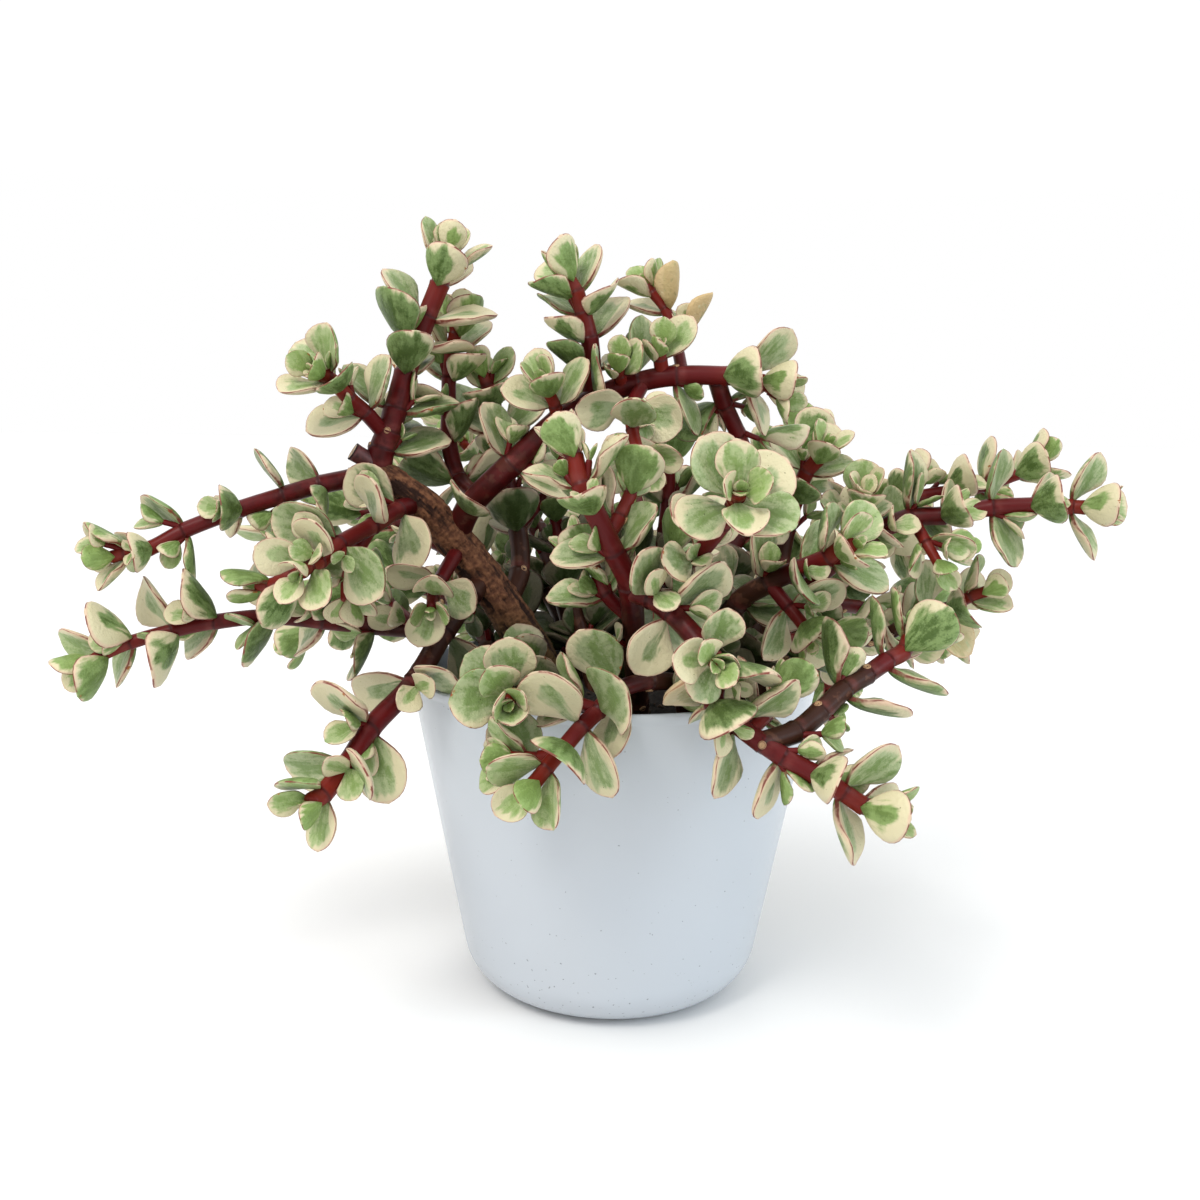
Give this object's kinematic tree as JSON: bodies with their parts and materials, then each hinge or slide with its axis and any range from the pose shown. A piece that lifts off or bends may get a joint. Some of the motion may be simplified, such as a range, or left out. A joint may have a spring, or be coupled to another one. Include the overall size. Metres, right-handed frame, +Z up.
{
  "type": "potted elephant bush",
  "caption": "Variegated elephant bush succulent with a woody trunk and spreading leafy stems, planted in soil in a plain tapered round pot; an ornamental plant that stands on any level surface.",
  "frame": {"origin": "centre of the pot's underside", "axes": "+Z up through the pot; +X to the right and -Y towards the viewer in the plant's front view"},
  "size_m": [0.3211, 0.2581, 0.2415],
  "materials": {
    "pot": "gloss",
    "soil": "matte",
    "bark": "matte",
    "foliage": "satin"
  },
  "bodies": {
    "root": {"pot": "pot", "soil": "soil", "trunk": "bark", "left_upper": "foliage", "left_down": "foliage", "left_lower": "foliage", "upright_left": "foliage", "cluster_left": "foliage", "inner_left": "foliage", "arch": "foliage", "upright_mid": "foliage", "arch_top_mid": "foliage", "arch_top_right": "foliage", "arch_down": "foliage", "upright_inner": "foliage", "front_stem": "foliage", "front_trail": "foliage", "front_rosette": "foliage", "front_fork": "foliage", "low_front": "foliage", "low_rosette": "foliage", "right_mid": "foliage", "upright_right": "foliage", "right_long": "foliage", "right_behind": "foliage", "right_low": "foliage", "inner_back_left": "foliage", "inner_mid": "foliage", "inner_right": "foliage", "back_left": "foliage", "back_left_low": "foliage", "back_mid_left": "foliage", "back_mid": "foliage", "back_mid_right": "foliage", "back_right": "foliage", "back_right_low": "foliage", "rear_mid": "foliage", "rear_left": "foliage", "rear_right": "foliage"}
  },
  "joints": []
}
